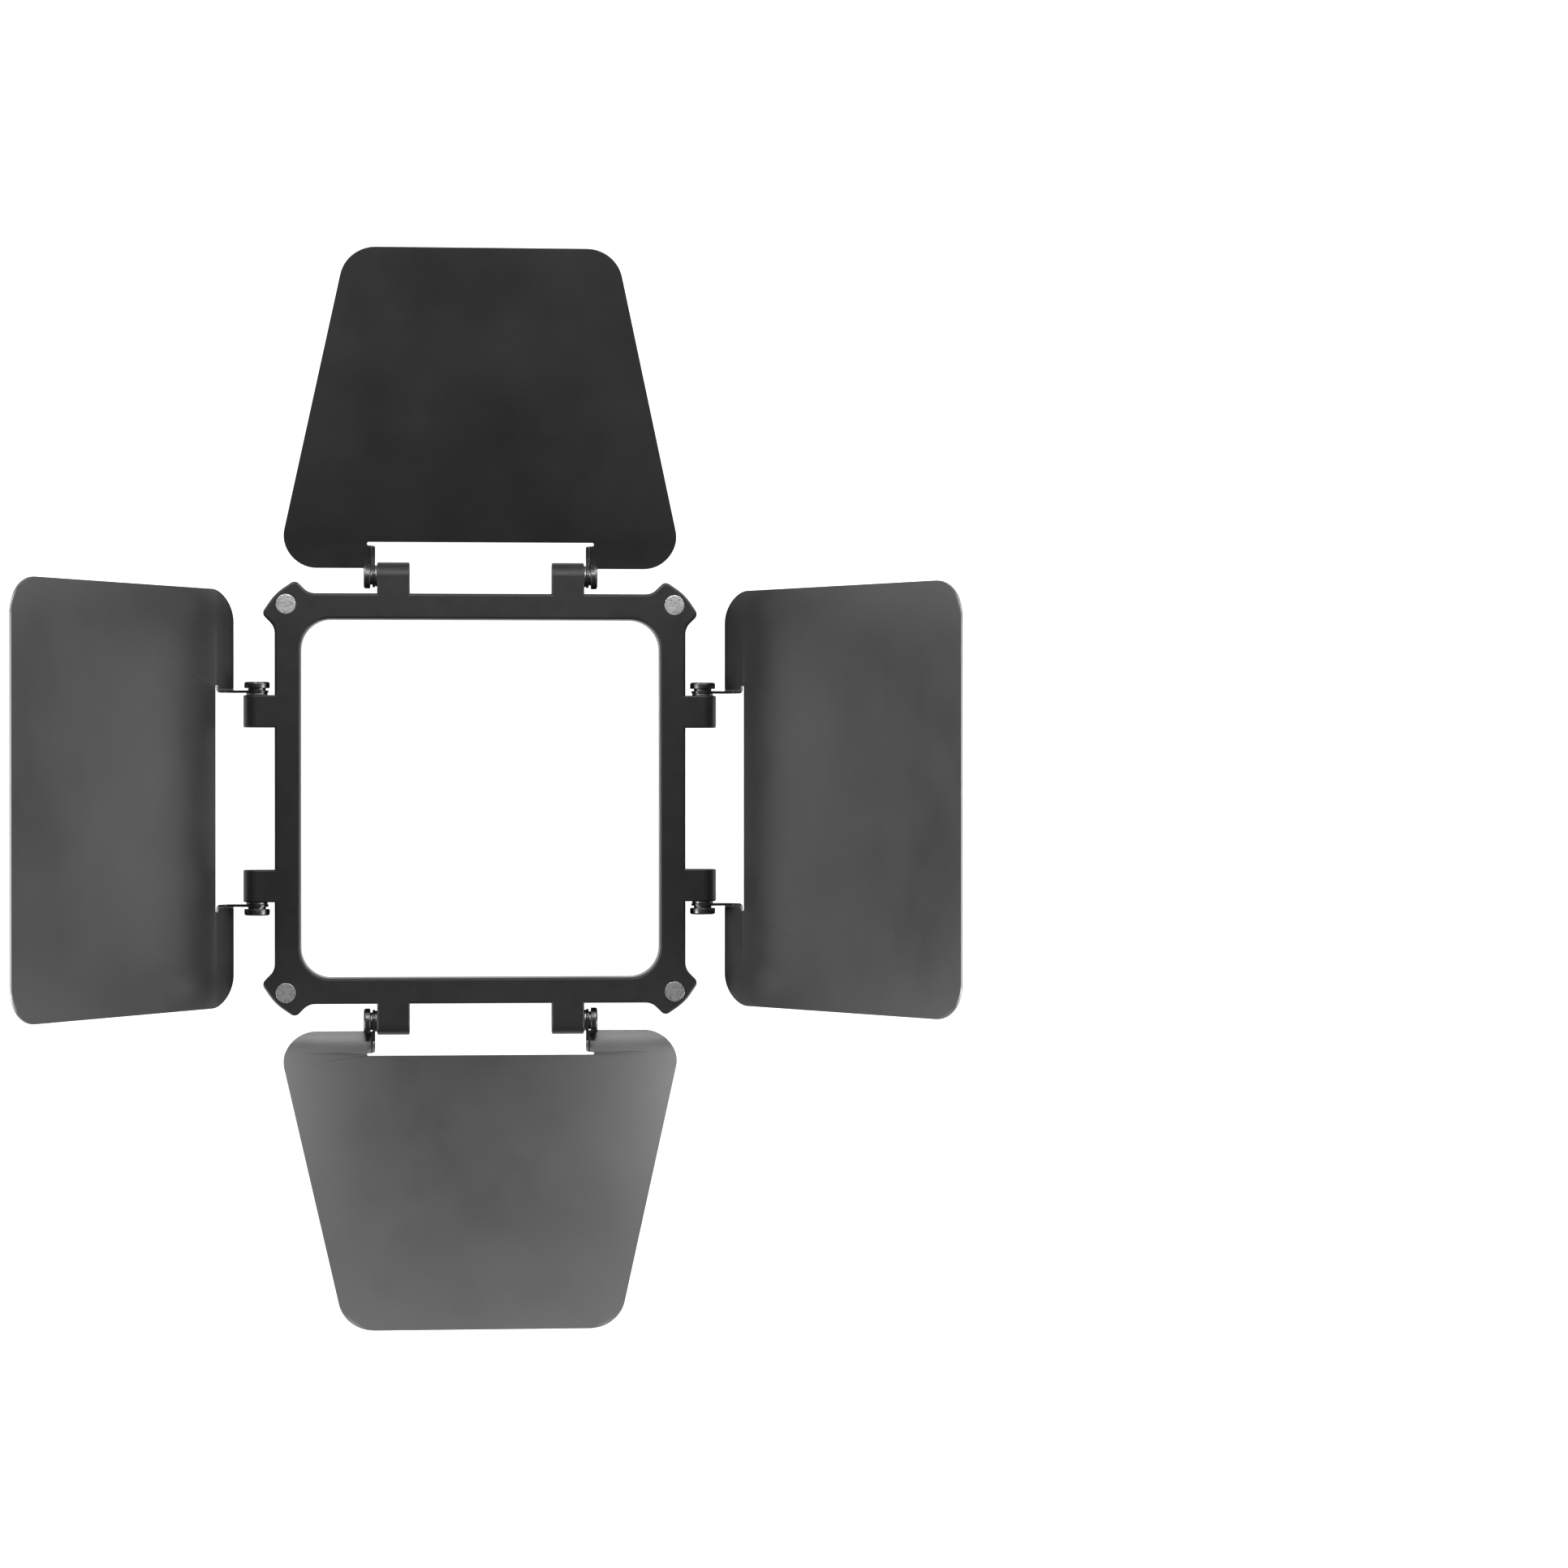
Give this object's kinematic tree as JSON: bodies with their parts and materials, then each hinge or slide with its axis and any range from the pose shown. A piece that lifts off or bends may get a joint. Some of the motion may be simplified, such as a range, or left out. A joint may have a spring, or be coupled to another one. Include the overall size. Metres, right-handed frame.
{
  "type": "barn door attachment",
  "caption": "Square frame with corner magnets and folding sheet leaves that shape the beam of a pocket cube lamp; each leaf swings on its own friction hinge.",
  "frame": {"origin": "centre of the window on the rear face, the face that meets the lamp", "axes": "+Z along the light beam, out of the front face; +Y towards the top leaf; +X towards the right leaf, seen from the front"},
  "size_m": [0.1041, 0.1228, 0.0364],
  "materials": {
    "frame_plastic": "fine-textured black moulding",
    "leaf_paint": "satin black paint on thin sheet steel",
    "hinge_pin": "black oxide",
    "washer": "dull nickel plate",
    "magnet": "dull nickel plate"
  },
  "bodies": {
    "frame": {"door_frame": "frame_plastic", "magnet_top_left": "magnet", "magnet_top_right": "magnet", "magnet_bottom_left": "magnet", "magnet_bottom_right": "magnet", "top_hinge_pin_a": "hinge_pin", "top_hinge_pin_b": "hinge_pin", "top_spring_washer_a": "washer", "top_spring_washer_b": "washer", "top_cover_washer_a": "washer", "top_cover_washer_b": "washer", "bottom_hinge_pin_a": "hinge_pin", "bottom_hinge_pin_b": "hinge_pin", "bottom_spring_washer_a": "washer", "bottom_spring_washer_b": "washer", "bottom_cover_washer_a": "washer", "bottom_cover_washer_b": "washer", "left_hinge_pin_a": "hinge_pin", "left_hinge_pin_b": "hinge_pin", "left_spring_washer_a": "washer", "left_spring_washer_b": "washer", "left_cover_washer_a": "washer", "left_cover_washer_b": "washer", "right_hinge_pin_a": "hinge_pin", "right_hinge_pin_b": "hinge_pin", "right_spring_washer_a": "washer", "right_spring_washer_b": "washer", "right_cover_washer_a": "washer", "right_cover_washer_b": "washer"},
    "top_door": {"top_leaf": "leaf_paint"},
    "bottom_door": {"bottom_leaf": "leaf_paint"},
    "left_door": {"left_leaf": "leaf_paint"},
    "right_door": {"right_leaf": "leaf_paint"}
  },
  "joints": [
    {"name": "top_hinge", "type": "hinge", "parent": "frame", "child": "top_door", "pos_m": [0, 0.0261, 0.0024], "axis": [1, 0, 0], "range_deg": [-22, 158]},
    {"name": "bottom_hinge", "type": "hinge", "parent": "frame", "child": "bottom_door", "pos_m": [0, -0.0261, 0.0024], "axis": [-1, 0, 0], "range_deg": [-34, 144]},
    {"name": "left_hinge", "type": "hinge", "parent": "frame", "child": "left_door", "pos_m": [-0.0261, 0, 0.0024], "axis": [0, 1, 0], "range_deg": [-58.5, 109]},
    {"name": "right_hinge", "type": "hinge", "parent": "frame", "child": "right_door", "pos_m": [0.0261, 0, 0.0024], "axis": [0, -1, 0], "range_deg": [-55.5, 122]}
  ]
}
